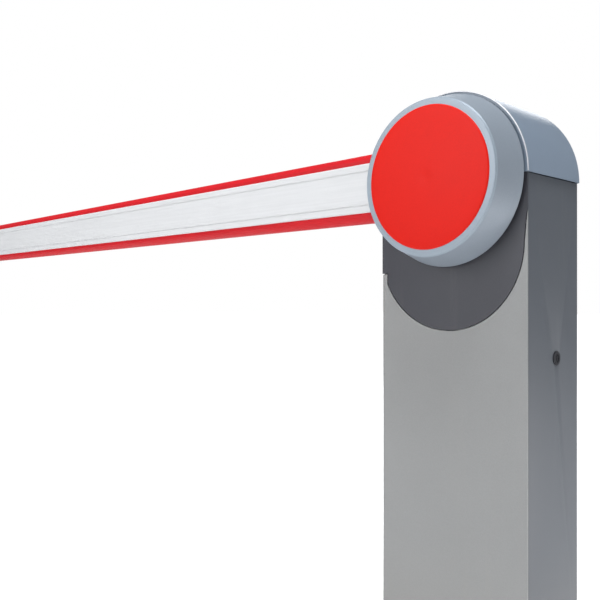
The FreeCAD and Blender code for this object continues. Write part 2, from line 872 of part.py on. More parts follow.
def boom_insert():
    """Solid bar in the middle chamber that the clamp presses on."""
    half = boom_height / 2 - chamber_height - boom_wall - insert_clearance
    return block(-insert_start, boom_tail - tip_cap_thickness - over, chamber_front + insert_clearance,
                 boom_rear - boom_wall, axis_height - half, axis_height + half)


def edge_rubber(side):
    """D-shaped hollow rubber along the boom's edge; side is 1 above and -1 below."""
    half = boom_height / 2
    y0 = boom_front + edge_inset
    y1 = boom_rear - edge_inset
    middle = (y0 + y1) / 2

    def section(inset):
        base = axis_height + side * (half + inset)
        shoulder = axis_height + side * (half + edge_height * edge_shoulder)
        top = axis_height + side * (half + edge_height - inset)
        a = V(-boom_reach, y0 + inset, base)
        b = V(-boom_reach, y0 + inset, shoulder)
        c = V(-boom_reach, middle, top)
        d = V(-boom_reach, y1 - inset, shoulder)
        e = V(-boom_reach, y1 - inset, base)
        wire = Part.Wire([Part.makeLine(a, b), Part.Arc(b, c, d).toShape(), Part.makeLine(d, e),
                          Part.makeLine(e, a)])
        return Part.Face(wire).extrude(V(boom_reach + boom_tail, 0, 0))

    return section(0).cut(section(edge_wall))


def boom_tip_cap():
    half = boom_height / 2 + edge_height
    cap = block(-boom_reach - tip_cap_thickness, -boom_reach, boom_front, boom_rear,
                axis_height - half, axis_height + half)
    edges = [e for e in cap.Edges if abs(e.Length - tip_cap_thickness) < 0.01]
    return cap.makeFillet(tip_cap_corner, edges)


# --- shaft and levers ---

def main_shaft():
    shaft = round_y(shaft_radius, 0, axis_height, boom_rear, lever_rear)
    return shaft.fuse(round_y(shaft_end_radius, 0, axis_height, lever_rear, shaft_rear))


def arm_hub():
    back = front + sheet + hub_projection
    hub = round_y(hub_radius, 0, axis_height, drum_back, back)
    return hub.cut(round_y(shaft_radius, 0, axis_height, drum_back - over, back + over))


def shaft_nut():
    nut = hexagon_y(shaft_radius + 0.5, 0, axis_height, shaft_rear - nut_height, shaft_rear)
    return nut.cut(round_y(shaft_end_radius, 0, axis_height, shaft_rear - nut_height - over,
                           shaft_rear + over))


def arm_towards(pin, centre_z, bore):
    """Flat lever arm from a shaft at centre_z to the pin, with a hole of the pin's size."""
    arm = block(0, lever_radius, lever_front, lever_rear, -lever_width / 2, lever_width / 2)
    arm.rotate(V(0, 0, 0), V(0, 1, 0), -math.degrees(math.atan2(pin.z, pin.x)))
    arm.translate(V(0, 0, centre_z))
    arm = arm.fuse(round_y(lever_width / 2, pin.x, centre_z + pin.z, lever_front, lever_rear))
    return arm.cut(round_y(bore, pin.x, centre_z + pin.z, lever_front - over, lever_rear + over))


def pin_with_head(pin, centre_z):
    """Pin fixed in a lever, with a head that keeps the link on it."""
    z = centre_z + pin.z
    shank = round_y(pin_radius, pin.x, z, lever_front, link_rear + over)
    return shank.fuse(round_y(pin_radius + pin_head, pin.x, z, link_rear + over,
                              link_rear + over + pin_head))


def rocker_lever():
    """Two-armed lever on the main shaft: one arm for the rod, one for the spring."""
    hub = round_y(shaft_radius + housing_wall + over, 0, axis_height, lever_front, lever_rear)
    lever = hub.fuse(arm_towards(rod_pin, axis_height, pin_radius))
    lever = lever.fuse(arm_towards(spring_pin, axis_height, pin_radius)).removeSplitter()
    return lever.cut(round_y(shaft_radius, 0, axis_height, lever_front - over, lever_rear + over))


def lever_pins():
    return [pin_with_head(pin, axis_height) for pin in (rod_pin, spring_pin)]


def crank_arm():
    hub = round_y(output_radius + crank_hub_wall, 0, crank_height, lever_front, lever_rear)
    crank = hub.fuse(arm_towards(rod_pin, crank_height, pin_radius)).removeSplitter()
    return crank.cut(round_y(output_radius, 0, crank_height, lever_front - over, lever_rear + over))


def output_shaft():
    return round_y(output_radius, 0, crank_height, gearbox_rear - output_length, lever_rear + over)


def crank_pin():
    return pin_with_head(rod_pin, crank_height)


def rod_ends():
    """Eyes with threaded stems, one at the crank and one at the rocker."""
    made = []
    bore = pin_radius + running_clearance
    for centre, inward in ((crank_height + rod_pin.z, 1), (axis_height + rod_pin.z, -1)):
        eye = round_y(eye_radius, rod_pin.x, centre, link_front, link_rear)
        start = centre + inward * rod_thread_start
        end = start + inward * rod_thread_length
        eye = eye.fuse(round_z(rod_thread_radius, rod_pin.x, link_middle, min(start, end),
                               max(start, end)))
        made.append(eye.cut(round_y(bore, rod_pin.x, centre, link_front - over, link_rear + over)))
    return made


def rod_shank():
    low = crank_height + rod_pin.z + shank_end
    high = axis_height + rod_pin.z - shank_end
    shank = round_z(rod_radius, rod_pin.x, link_middle, low, high)
    bore = rod_thread_radius + running_clearance
    for z0, z1 in ((low - over, low + shank_bore), (high - shank_bore, high + over)):
        shank = shank.cut(round_z(bore, rod_pin.x, link_middle, z0, z1))
    return shank


def spring_hanger():
    x = spring_pin.x
    z = axis_height + spring_pin.z
    eye = round_y(hanger_eye_radius, x, z, link_front, link_rear)
    strap = block(x - hanger_half_width, x + hanger_half_width, link_front + sheet,
                  link_rear - sheet, z - hanger_length, z)
    bore = pin_radius + running_clearance
    return eye.fuse(strap).cut(round_y(bore, x, z, link_front - over, link_rear + over))


# --- door ---

def front_door():
    """Flat panel with inner flanges; its left edge is rolled round the pivot pins."""
    top = horn_height - joint_gap
    panel = block(pivot_x, half_width, front, front + sheet, door_ground_gap, top)
    panel = panel.cut(bib_face(joint_gap, front - over).extrude(V(0, sheet + 2 * over, 0)))
    panel = sorted(panel.Solids, key=lambda solid: solid.Volume)[-1]
    right_edge = [e for e in edges_at(panel, half_width, front) if e.Length > cabinet_width]
    panel = panel.makeFillet(door_edge_radius, right_edge)
    right = half_width - flange_inset
    back = front + flange_depth
    flange = block(right - sheet, right, front, back, door_ground_gap,
                   bib_centre.z - bib_radius / 3)
    sill = block(pivot_x + pivot_radius + over, right, front, back, door_ground_gap,
                 door_ground_gap + sheet)
    barrel = round_z(pivot_radius, pivot_x, pivot_y, door_ground_gap, step_height - joint_gap)
    door = panel.fuse(flange.cut(panel)).fuse(sill.cut(panel)).fuse(barrel).removeSplitter()
    bore = pivot_pin_radius + running_clearance
    door = door.cut(round_z(bore, pivot_x, pivot_y, door_ground_gap - over, step_height))
    return door.cut(round_y(door_lock_bore, door_lock_side, door_lock_height, front - over,
                            front + sheet + over))


def door_stiffener():
    back = front + sheet
    rib = block(-stiffener_half_width, stiffener_half_width, back, back + stiffener_depth,
                stiffener_bottom, stiffener_top)
    return rib.cut(block(-stiffener_inner, stiffener_inner, back + stiffener_wall,
                         back + stiffener_depth + over, stiffener_bottom - over,
                         stiffener_top + over))


def door_lock_barrel():
    x = door_lock_side
    z = door_lock_height
    face = front - door_lock_flange_height
    back = front + door_lock_length
    body = round_y(door_lock_bore, x, z, face, back)
    flange = round_y(door_lock_bore + door_lock_flange, x, z, face, front)
    nut = hexagon_y(door_lock_bore + door_lock_flange + over, x, z, front + sheet,
                    front + sheet + door_lock_nut)
    bore = round_y(door_core_radius + running_clearance, x, z, face - over, back + over)
    return body.fuse(flange).fuse(nut).cut(bore)


def door_lock_core():
    x = door_lock_side
    z = door_lock_height
    face = front - over
    cam_front = front + door_lock_length + door_cam_gap
    cam_back = cam_front + door_cam_thickness
    core = round_y(door_core_radius, x, z, face, cam_back + door_cam_gap)
    core = core.cut(hexagon_y(key_hexagon_radius, x, z, face - over, face + door_lock_nut))
    return core.fuse(block(x - door_core_radius, x + door_core_radius, cam_front, cam_back,
                           z - door_core_radius, z + door_cam_length))


def pivot_ends():
    """Bottom and top of each pivot bracket: on the base plate and above the door's left edge."""
    return [(base_thickness, door_ground_gap - pivot_end_gap),
            (step_height, step_height + pivot_bracket_thickness)]


def pivot_brackets():
    (low, low_top), (high, high_top) = pivot_ends()
    inside = -half_width + sheet
    right = pivot_x + pivot_radius + pivot_pin_radius
    back = pivot_y + pivot_bracket_depth
    lower = block(-half_width + panel_gap, right, front + panel_gap, left_wall_front, low, low_top)
    lower = lower.fuse(block(inside, right, left_wall_front, back, low, low_top)).removeSplitter()
    upper = block(inside, right, front + sheet, back, high, high_top)
    made = []
    for bracket in (lower, upper):
        made.append(bracket.cut(round_z(pivot_pin_radius, pivot_x, pivot_y, low - over,
                                        high_top + over)))
    return made


def pivot_pins():
    (low, low_top), (high, high_top) = pivot_ends()
    return [round_z(pivot_pin_radius, pivot_x, pivot_y, low, low_top + pivot_pin_length),
            round_z(pivot_pin_radius, pivot_x, pivot_y, high - pivot_pin_length, high_top)]


# --- release lock in the right side wall ---

def release_lock_barrel():
    outside = half_width
    inside = outside - sheet
    end = outside - lock_length
    y = lock_depth
    z = lock_height
    flange = round_x(lock_radius, y, z, outside, outside + lock_flange_height)
    body = round_x(lock_radius - lock_wall, y, z, end, outside)
    nut = round_x(lock_radius + lock_wall + over, y, z, inside - lock_nut, inside)
    hole = round_x(lock_core_radius + running_clearance, y, z, end - over,
                   outside + lock_flange_height + over)
    return flange.fuse(body).fuse(nut).cut(hole)


def release_lock_core():
    y = lock_depth
    z = lock_height
    face = half_width + lock_flange_height - over
    cam_front = half_width - lock_length - over
    cam_back = cam_front - door_cam_thickness
    half = lock_core_radius
    core = round_x(half, y, z, cam_back - over, face)
    key_slot = block(face - door_lock_nut, face + over, y - key_slot_width / 2,
                     y + key_slot_width / 2, z - key_slot_height / 2, z + key_slot_height / 2)
    cam = block(cam_back, cam_front, y - half, y + half, z - lock_cam_length, z + half)
    return core.cut(key_slot).fuse(cam)


outer_rings, inner_rings, bearing_balls = bearing_rings()

save("base_plate", base_plate())
save("cabinet_shell", cabinet_shell())
save("front_cover", front_cover())
save("dome_cover", dome_cover())
save("dome_trim", dome_trim())
save("dome_screws", *dome_screws())
save("cover_spacers", *cover_spacers())
save("uprights", *uprights())
save("mechanism_plate", mechanism_plate())
save("bearing_housing", bearing_housing())
save("bearing_outer_races", *outer_rings, *bearing_balls)
save("gearbox_housing", gearbox_housing())
save("gearbox_cover", gearbox_cover())
save("motor_casing", motor_casing())
save("motor_end_cap", motor_end_cap())
save("capacitor", capacitor())
save("balance_spring", *balance_spring())
save("spring_anchor_bracket", spring_anchor_bracket())
save("spring_anchor_rod", spring_anchor_rod())
save("stop_brackets", *stop_brackets())
save("stop_bolts", *stop_bolts())
save("stop_buffers", *stop_buffers())
save("switch_bracket", switch_bracket())
save("limit_switches", *limit_switches())
save("control_box", control_box())
save("control_box_lid", control_box_lid())
save("control_board", control_board())
save("cable_glands", *cable_glands())
save("door_pivot_brackets", *pivot_brackets())
save("door_pivot_pins", *pivot_pins())
save("release_lock_barrel", release_lock_barrel())
save("main_shaft", main_shaft())
save("bearing_inner_races", *inner_rings)
save("arm_hub", arm_hub())
save("shaft_nut", shaft_nut())
save("drum_housing", drum_housing())
save("drum_ring", drum_ring())
save("disc_cover", disc_cover())
save("clamp_plate", clamp_plate())
save("clamp_bolts", *clamp_bolts())
save("boom_profile", boom_profile())
save("boom_insert", boom_insert())
save("upper_edge_rubber", edge_rubber(1))
save("lower_edge_rubber", edge_rubber(-1))
save("boom_tip_cap", boom_tip_cap())
save("rocker_lever", rocker_lever())
save("lever_pins", *lever_pins())
save("switch_cams", *switch_cams())
save("crank_arm", crank_arm())
save("output_shaft", output_shaft())
save("crank_pin", crank_pin())
save("rod_shank", rod_shank())
save("rod_ends", *rod_ends())
save("spring_hanger", spring_hanger())
save("front_door", front_door())
save("door_stiffener", door_stiffener())
save("door_lock_barrel", door_lock_barrel())
save("door_lock_core", door_lock_core())
save("release_lock_core", release_lock_core())
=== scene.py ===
import math

import bpy
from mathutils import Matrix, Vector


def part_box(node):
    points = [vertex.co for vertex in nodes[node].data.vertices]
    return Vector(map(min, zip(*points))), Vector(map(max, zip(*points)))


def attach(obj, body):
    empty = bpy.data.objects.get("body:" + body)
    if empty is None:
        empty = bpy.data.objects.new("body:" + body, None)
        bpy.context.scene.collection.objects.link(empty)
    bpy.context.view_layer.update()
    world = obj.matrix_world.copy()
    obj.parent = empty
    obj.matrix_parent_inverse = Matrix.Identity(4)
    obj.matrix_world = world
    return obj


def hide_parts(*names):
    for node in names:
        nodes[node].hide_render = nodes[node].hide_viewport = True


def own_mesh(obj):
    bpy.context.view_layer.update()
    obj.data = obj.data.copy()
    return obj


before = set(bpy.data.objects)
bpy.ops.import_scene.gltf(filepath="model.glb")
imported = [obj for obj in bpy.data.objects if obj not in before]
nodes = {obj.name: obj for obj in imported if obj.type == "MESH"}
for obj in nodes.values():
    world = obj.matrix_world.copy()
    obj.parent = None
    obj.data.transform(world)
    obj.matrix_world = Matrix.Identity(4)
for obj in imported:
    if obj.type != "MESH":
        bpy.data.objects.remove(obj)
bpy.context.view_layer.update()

# ---------------------------------------------------------------------------------------------
# Stand, light and camera. The gate stands on a plain pale floor under broad soft lamps, seen
# from low down, in front and to the right of the cabinet, so that the boom runs away to the left.

shaft_low, shaft_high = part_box("main_shaft")
axis_z = (shaft_low.z + shaft_high.z) / 2
drum_low, drum_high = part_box("drum_housing")


def deselect():
    bpy.ops.object.select_all(action="DESELECT")


def new_material(name):
    made = bpy.data.materials.new(name)
    made.use_nodes = True
    return made, made.node_tree, made.node_tree.nodes["Principled BSDF"]


def lamp(name, size, power, place, target, colour=(1.0, 1.0, 1.0)):
    deselect()
    bpy.ops.object.light_add(type="AREA", location=place)
    made = bpy.context.object
    made.name = name
    made.data.size = size
    made.data.energy = power
    made.data.color = colour
    aim = made.location - type(made.location)(target)
    made.rotation_euler = aim.to_track_quat("Z", "Y").to_euler()
    made.visible_camera = False


floor_side = 60.0
deselect()
bpy.ops.mesh.primitive_plane_add(size=floor_side, location=(0.0, 0.0, 0.0))
floor = bpy.context.object
floor.name = "floor"
# The floor glows for the eye only, less so close to the foot, where a soft shadow stays.
floor_paint, floor_tree, floor_shader = new_material("floor_paint")
floor_shader.inputs["Base Color"].default_value = (0.9, 0.9, 0.9, 1.0)
floor_shader.inputs["Roughness"].default_value = 0.9
floor_coords = floor_tree.nodes.new("ShaderNodeTexCoord")
reach = floor_tree.nodes.new("ShaderNodeVectorMath")
reach.operation = "LENGTH"
floor_tree.links.new(floor_coords.outputs["Object"], reach.inputs[0])
glow = floor_tree.nodes.new("ShaderNodeMapRange")
glow.interpolation_type = "SMOOTHSTEP"
for label, number in (("From Min", 0.1), ("From Max", 1.1), ("To Min", 0.45), ("To Max", 1.0)):
    glow.inputs[label].default_value = number
floor_tree.links.new(reach.outputs["Value"], glow.inputs["Value"])
shine = floor_tree.nodes.new("ShaderNodeEmission")
floor_tree.links.new(glow.outputs["Result"], shine.inputs["Strength"])
floor_sum = floor_tree.nodes.new("ShaderNodeAddShader")
floor_tree.links.new(floor_shader.outputs[0], floor_sum.inputs[0])
floor_tree.links.new(shine.outputs[0], floor_sum.inputs[1])
floor_path = floor_tree.nodes.new("ShaderNodeLightPath")
floor_mix = floor_tree.nodes.new("ShaderNodeMixShader")
floor_tree.links.new(floor_path.outputs["Is Camera Ray"], floor_mix.inputs["Fac"])
floor_tree.links.new(floor_shader.outputs[0], floor_mix.inputs[1])
floor_tree.links.new(floor_sum.outputs[0], floor_mix.inputs[2])
floor_tree.links.new(floor_mix.outputs[0], floor_tree.nodes["Material Output"].inputs["Surface"])
floor.data.materials.append(floor_paint)

world = bpy.data.worlds.new("studio")
world.use_nodes = True
bpy.context.scene.world = world
world_nodes = world.node_tree.nodes
world_links = world.node_tree.links
# White to the eye; a dimmer and bluer light on the surfaces.
seen = world_nodes["Background"]
seen.inputs["Color"].default_value = (1.0, 1.0, 1.0, 1.0)
seen.inputs["Strength"].default_value = 1.0
ambient = world_nodes.new("ShaderNodeBackground")
ambient.inputs["Color"].default_value = (0.86, 0.92, 1.0, 1.0)
ambient.inputs["Strength"].default_value = 0.22
light_path = world_nodes.new("ShaderNodeLightPath")
chooser = world_nodes.new("ShaderNodeMixShader")
world_links.new(light_path.outputs["Is Camera Ray"], chooser.inputs["Fac"])
world_links.new(ambient.outputs[0], chooser.inputs[1])
world_links.new(seen.outputs[0], chooser.inputs[2])
world_links.new(chooser.outputs[0], world_nodes["World Output"].inputs["Surface"])

lamp("key_lamp", 2.2, 77.0, (-1.4, -3.4, 2.2), (0.0, 0.0, 0.6))
lamp("top_lamp", 2.8, 370.0, (0.9, -1.0, 6.2), (0.0, 0.0, 0.8), (0.95, 0.98, 1.0))
lamp("foot_lamp", 0.8, 6.8, (0.85, 0.12, 0.04), (0.15, 0.05, 0.05), (1.0, 0.98, 0.96))
lamp("back_lamp", 2.4, 55.0, (-2.2, 3.2, 2.2), (0.0, 0.0, 0.6))

deselect()
camera_back = 1.065
camera_right = 0.748
camera_below_axis = 0.208
camera_heading = math.radians(46.47)
bpy.ops.object.camera_add(
    location=(camera_right, drum_high.y - camera_back, axis_z - camera_below_axis),
    rotation=(math.radians(90), 0.0, camera_heading))
camera = bpy.context.object
camera.name = "camera"
camera.data.sensor_width = 36.0
camera.data.lens = 43.66
bpy.context.scene.camera = camera
bpy.context.scene.view_settings.view_transform = "Standard"

# ---------------------------------------------------------------------------------------------
# Cabinet shell: folded sheet steel, powder coated in grey, bolted to the base plate it stands
# on. Its grey is set much darker than the door's, as painted shade on the cabinet's sides.
# Baked polyester powder leaves a fine orange peel; dust settles near the foot.


def group(name, inputs, outputs):
    tree = bpy.data.node_groups.new(name, "ShaderNodeTree")
    for label, kind, value in inputs:
        socket = tree.interface.new_socket(label, in_out="INPUT", socket_type=kind)
        socket.default_value = value
    for label, kind in outputs:
        tree.interface.new_socket(label, in_out="OUTPUT", socket_type=kind)
    return tree, tree.nodes.new("NodeGroupInput"), tree.nodes.new("NodeGroupOutput")


def noise(tree, coords, scale, detail=3.0, rough=0.5):
    made = tree.nodes.new("ShaderNodeTexNoise")
    made.inputs["Scale"].default_value = scale
    made.inputs["Detail"].default_value = detail
    made.inputs["Roughness"].default_value = rough
    tree.links.new(coords, made.inputs["Vector"])
    return made.outputs["Fac"]


def ranged(tree, value, low_in, high_in, low_out, high_out):
    made = tree.nodes.new("ShaderNodeMapRange")
    for label, number in (("From Min", low_in), ("From Max", high_in),
                          ("To Min", low_out), ("To Max", high_out)):
        if hasattr(number, "is_output"):
            tree.links.new(number, made.inputs[label])
        else:
            made.inputs[label].default_value = number
    tree.links.new(value, made.inputs["Value"])
    return made.outputs["Result"]


def sums(tree, operation, first, second):
    made = tree.nodes.new("ShaderNodeMath")
    made.operation = operation
    for place, value in ((0, first), (1, second)):
        if hasattr(value, "is_output"):
            tree.links.new(value, made.inputs[place])
        else:
            made.inputs[place].default_value = value
    return made.outputs[0]


def mixed(tree, share, first, second):
    made = tree.nodes.new("ShaderNodeMix")
    made.data_type = "RGBA"
    for label, value in ((0, share), (6, first), (7, second)):
        if hasattr(value, "is_output"):
            tree.links.new(value, made.inputs[label])
        else:
            made.inputs[label].default_value = value
    return made.outputs[2]


def bumped(tree, height, strength, distance):
    made = tree.nodes.new("ShaderNodeBump")
    made.inputs["Distance"].default_value = distance
    tree.links.new(strength, made.inputs["Strength"])
    tree.links.new(height, made.inputs["Height"])
    return made.outputs["Normal"]


def finish_group(name, coarse, fine, drawn=False):
    """Colour, roughness and relief of a coating: fine grain, broad cloudiness, foot dust and rain
    marks. A drawn finish has its grain stretched along X, as an extrusion has."""
    tree, entry, leave = group(
        name,
        [("Color", "NodeSocketColor", (0.5, 0.5, 0.5, 1.0)),
         ("Cloud", "NodeSocketFloat", 0.06), ("Dust", "NodeSocketFloat", 0.0),
         ("Rough Low", "NodeSocketFloat", 0.35), ("Rough High", "NodeSocketFloat", 0.5),
         ("Relief", "NodeSocketFloat", 0.2)],
        [("Color", "NodeSocketColor"), ("Roughness", "NodeSocketFloat"),
         ("Normal", "NodeSocketVector")])
    coords = tree.nodes.new("ShaderNodeTexCoord").outputs["Object"]
    if drawn:
        stretch = tree.nodes.new("ShaderNodeMapping")
        stretch.inputs["Scale"].default_value = (0.02, 1.0, 1.0)
        tree.links.new(coords, stretch.inputs["Vector"])
        grain = noise(tree, stretch.outputs["Vector"], fine, 4.0, 0.6)
    else:
        grain = noise(tree, coords, fine, 2.0)
    cloud = noise(tree, coords, coarse, 4.0, 0.6)
    streak_map = tree.nodes.new("ShaderNodeMapping")
    streak_map.inputs["Scale"].default_value = (1.0, 1.0, 0.08)
    tree.links.new(coords, streak_map.inputs["Vector"])
    streak = noise(tree, streak_map.outputs["Vector"], 28.0, 5.0, 0.65)
    shade = ranged(tree, cloud, 0.3, 0.7, sums(tree, "SUBTRACT", 1.0, entry.outputs["Cloud"]),
                   sums(tree, "ADD", 1.0, entry.outputs["Cloud"]))
    speck = ranged(tree, grain, 0.35, 0.65, 0.975, 1.025)
    tone = sums(tree, "MULTIPLY", shade, speck)
    tinted = tree.nodes.new("ShaderNodeVectorMath")
    tinted.operation = "SCALE"
    tree.links.new(entry.outputs["Color"], tinted.inputs[0])
    tree.links.new(tone, tinted.inputs["Scale"])
    split = tree.nodes.new("ShaderNodeSeparateXYZ")
    tree.links.new(coords, split.inputs["Vector"])
    dust_height = 0.28
    most_dirt = 0.85
    dust_colour = (0.33, 0.31, 0.28, 1.0)
    grain_depth = 0.0004
    foot = ranged(tree, split.outputs["Z"], 0.0, dust_height, 1.0, 0.0)
    foot = sums(tree, "MULTIPLY", sums(tree, "POWER", foot, 2.0), entry.outputs["Dust"])
    rain = ranged(tree, streak, 0.56, 0.8, 0.0, 0.35)
    rain = sums(tree, "MULTIPLY", rain, entry.outputs["Dust"])
    dirt = sums(tree, "MINIMUM", sums(tree, "ADD", foot, rain), most_dirt)
    dusty = mixed(tree, dirt, tinted.outputs["Vector"], dust_colour)
    tree.links.new(dusty, leave.inputs["Color"])
    rough = ranged(tree, cloud, 0.3, 0.7, entry.outputs["Rough Low"], entry.outputs["Rough High"])
    rough = sums(tree, "ADD", rough, sums(tree, "MULTIPLY", dirt, 0.3))
    tree.links.new(rough, leave.inputs["Roughness"])
    normal = bumped(tree, grain, entry.outputs["Relief"], grain_depth)
    tree.links.new(normal, leave.inputs["Normal"])
    return tree


powder_group = finish_group("powder_coat", 2.6, 620.0)


def coated(name, group_tree, colour, rough, relief, cloud, dust=0.0, metallic=0.0, specular=0.5):
    """Material from a finish group; the values that don't vary sit on the shader itself."""
    made, tree, shader = new_material(name)
    node = tree.nodes.new("ShaderNodeGroup")
    node.node_tree = group_tree
    node.inputs["Color"].default_value = (*colour, 1.0)
    node.inputs["Cloud"].default_value = cloud
    node.inputs["Dust"].default_value = dust
    node.inputs["Rough Low"].default_value = rough[0]
    node.inputs["Rough High"].default_value = rough[1]
    node.inputs["Relief"].default_value = relief
    tree.links.new(node.outputs["Color"], shader.inputs["Base Color"])
    tree.links.new(node.outputs["Roughness"], shader.inputs["Roughness"])
    tree.links.new(node.outputs["Normal"], shader.inputs["Normal"])
    shader.inputs["Metallic"].default_value = metallic
    shader.inputs["Specular IOR Level"].default_value = specular
    return made


def dress(material, *names):
    """Gives CAD nodes a material and smooth shading where faces meet at a shallow angle."""
    for name in names:
        node = nodes[name]
        node.data.materials.clear()
        node.data.materials.append(material)
        deselect()
        node.select_set(True)
        bpy.context.view_layer.objects.active = node
        bpy.ops.object.shade_smooth_by_angle(angle=math.radians(28))
    deselect()


def settle(piece, material, body, replaced):
    """Last steps of a piece: place applied, shading, material, and what it stands for."""
    deselect()
    piece.select_set(True)
    bpy.context.view_layer.objects.active = piece
    bpy.ops.object.transform_apply(location=True, rotation=True, scale=True)
    bpy.ops.object.shade_smooth_by_angle(angle=math.radians(30))
    piece.data.materials.clear()
    piece.data.materials.append(material)
    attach(piece, body)
    if replaced:
        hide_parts(*replaced)
    deselect()


merge_distance = 0.00001


def folded(name, source, edge_radius):
    """Sheet piece in the shape of a node, with the small radius that a real edge has."""
    deselect()
    node = nodes[source]
    made = node.copy()
    made.data = node.data.copy()
    made.parent = None
    made.name = name
    bpy.context.collection.objects.link(made)
    made.select_set(True)
    bpy.context.view_layer.objects.active = made
    bpy.ops.object.mode_set(mode="EDIT")
    bpy.ops.mesh.select_all(action="SELECT")
    bpy.ops.mesh.remove_doubles(threshold=merge_distance)
    bpy.ops.mesh.dissolve_limited(angle_limit=math.radians(1.0))
    bpy.ops.object.mode_set(mode="OBJECT")
    soft = made.modifiers.new("edge_radius", "BEVEL")
    soft.width = edge_radius
    soft.segments = 3
    soft.limit_method = "ANGLE"
    soft.angle_limit = math.radians(40)
    bpy.ops.object.modifier_apply(modifier="edge_radius")
    return made


# The shell's grey is much darker than the door's: painted shade standing in for the shade on the
# cabinet's sides.
side_paint_painted_shade = coated("side_paint_painted_shade", powder_group, (0.092, 0.1, 0.114), (0.42, 0.52),
                    0.22, 0.05, 0.35)
shell = folded("shell_folded", "cabinet_shell", 0.0006)
settle(shell, side_paint_painted_shade, "cabinet", ["cabinet_shell"])

# ---------------------------------------------------------------------------------------------
# Zinc-plated steel frame and fittings: the base plate with its two uprights and mechanism plate
# bolted on, and the brackets, rods, bolts and spacers. The plating shows a faint broad spangle.

zinc_group = finish_group("zinc_plate", 22.0, 90.0)
zinc = coated("zinc_plated_steel", zinc_group, (0.56, 0.57, 0.56), (0.3, 0.5),
              0.12, 0.12, 0.1, 1.0)
dress(zinc, "base_plate", "uprights", "mechanism_plate", "cover_spacers", "spring_anchor_bracket",
      "spring_anchor_rod", "stop_brackets", "stop_bolts", "switch_bracket", "clamp_plate",
      "clamp_bolts", "shaft_nut", "rod_shank", "spring_hanger", "door_stiffener", "dome_screws")

# ---------------------------------------------------------------------------------------------
# Dark front cover below the drum: a folded steel bib with a round lower edge, powder coated in
# anthracite, held off the mechanism plate by four spacers.

bib_paint = coated("anthracite_paint", powder_group, (0.052, 0.052, 0.062), (0.38, 0.5),
                   0.25, 0.05, 0.2)
bib = folded("bib_folded", "front_cover", 0.0006)
settle(bib, bib_paint, "cabinet", ["front_cover"])

# ---------------------------------------------------------------------------------------------
# Front door: folded steel tray in light grey powder coat, cut round the dark cover, with a narrow
# horn up the right corner. Its rolled left edge turns on two pivot pins, and a cam lock near the
# foot closes it.

door_paint = coated("door_paint", powder_group, (0.275, 0.275, 0.272), (0.36, 0.46),
                    0.22, 0.04, 0.45)
door = folded("door_folded", "front_door", 0.0005)
settle(door, door_paint, "door", ["front_door"])
hinge_steel = coated("hinge_steel", zinc_group, (0.2, 0.2, 0.21), (0.35, 0.5),
                     0.1, 0.1, 0.2, 0.8)
dress(hinge_steel, "door_pivot_brackets", "door_pivot_pins")
lock_metal = coated("lock_metal", zinc_group, (0.035, 0.035, 0.04), (0.3, 0.45),
                    0.1, 0.1, 0.0, 0.6)
dress(lock_metal, "door_lock_barrel", "door_lock_core", "release_lock_barrel", "release_lock_core")

# ---------------------------------------------------------------------------------------------
# Dome: a rolled steel cover over the top of the cabinet, its rear edge rolled over a small
# radius, in blue-grey paint. A bright aluminium trim closes its front edge.


def turned(name, profile, steps=192):
    """Part turned about the boom axis from a closed profile of (radius, y) points."""
    deselect()
    radius, y = profile[0]
    bpy.ops.mesh.primitive_circle_add(vertices=steps, radius=radius, location=(0.0, y, axis_z),
                                      rotation=(math.pi / 2, 0.0, 0.0))
    made = bpy.context.object
    made.name = name
    bpy.ops.object.transform_apply(location=True, rotation=True, scale=True)
    bpy.ops.object.mode_set(mode="EDIT")
    bpy.ops.mesh.select_all(action="SELECT")
    for here, there in zip(profile, profile[1:] + profile[:1]):
        bpy.ops.mesh.extrude_edges_move(
            TRANSFORM_OT_translate={"value": (0.0, there[1] - here[1], 0.0)})
        share = there[0] / here[0]
        bpy.ops.transform.resize(value=(share, 1.0, share), center_override=(0.0, there[1], axis_z))
    bpy.ops.mesh.select_all(action="SELECT")
    bpy.ops.mesh.remove_doubles(threshold=merge_distance)
    bpy.ops.mesh.normals_make_consistent(inside=False)
    bpy.ops.object.mode_set(mode="OBJECT")
    return made


def rounded(centre, radius, start, end, count=6):
    """Points of an arc in the (radius, y) plane, angles in degrees from the radius direction."""
    points = []
    for k in range(count + 1):
        angle = math.radians(start + (end - start) * k / count)
        points.append((centre[0] + radius * math.cos(angle), centre[1] + radius * math.sin(angle)))
    return points


def keep_above(piece, height):
    """Cuts away what lies below a height and closes the cut."""
    deselect()
    piece.select_set(True)
    bpy.context.view_layer.objects.active = piece
    bpy.ops.object.mode_set(mode="EDIT")
    bpy.ops.mesh.select_all(action="SELECT")
    bpy.ops.mesh.bisect(plane_co=(0.0, 0.0, height), plane_no=(0.0, 0.0, 1.0),
                        use_fill=True, clear_inner=True)
    bpy.ops.object.mode_set(mode="OBJECT")


dome_low, dome_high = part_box("dome_cover")
dome_radius = (dome_high.x - dome_low.x) / 2
dome_sheet = 0.002
dome_edge = 0.006
dome_pole = 0.0005
dome_foot = 0.001
flange_sheet = 0.0015
flange_radius = dome_radius - 0.014
edge_centre = (dome_radius - dome_edge, dome_high.y - dome_edge)
dome_profile = [(dome_radius, dome_low.y)]
dome_profile += rounded(edge_centre, dome_edge, 0, 90)
dome_profile += [(dome_pole, dome_high.y), (dome_pole, dome_high.y - dome_sheet)]
dome_profile += rounded(edge_centre, dome_edge - dome_sheet, 90, 0)
dome_profile += [(dome_radius - dome_sheet, dome_low.y + flange_sheet)]
dome_profile += [(flange_radius, dome_low.y + flange_sheet), (flange_radius, dome_low.y)]
dome_paint = coated("dome_paint", powder_group, (0.215, 0.265, 0.335), (0.3, 0.4),
                    0.2, 0.04, 0.1)
dome = turned("dome_shell", dome_profile)
keep_above(dome, dome_low.z - dome_foot)
settle(dome, dome_paint, "cabinet", ["dome_cover"])

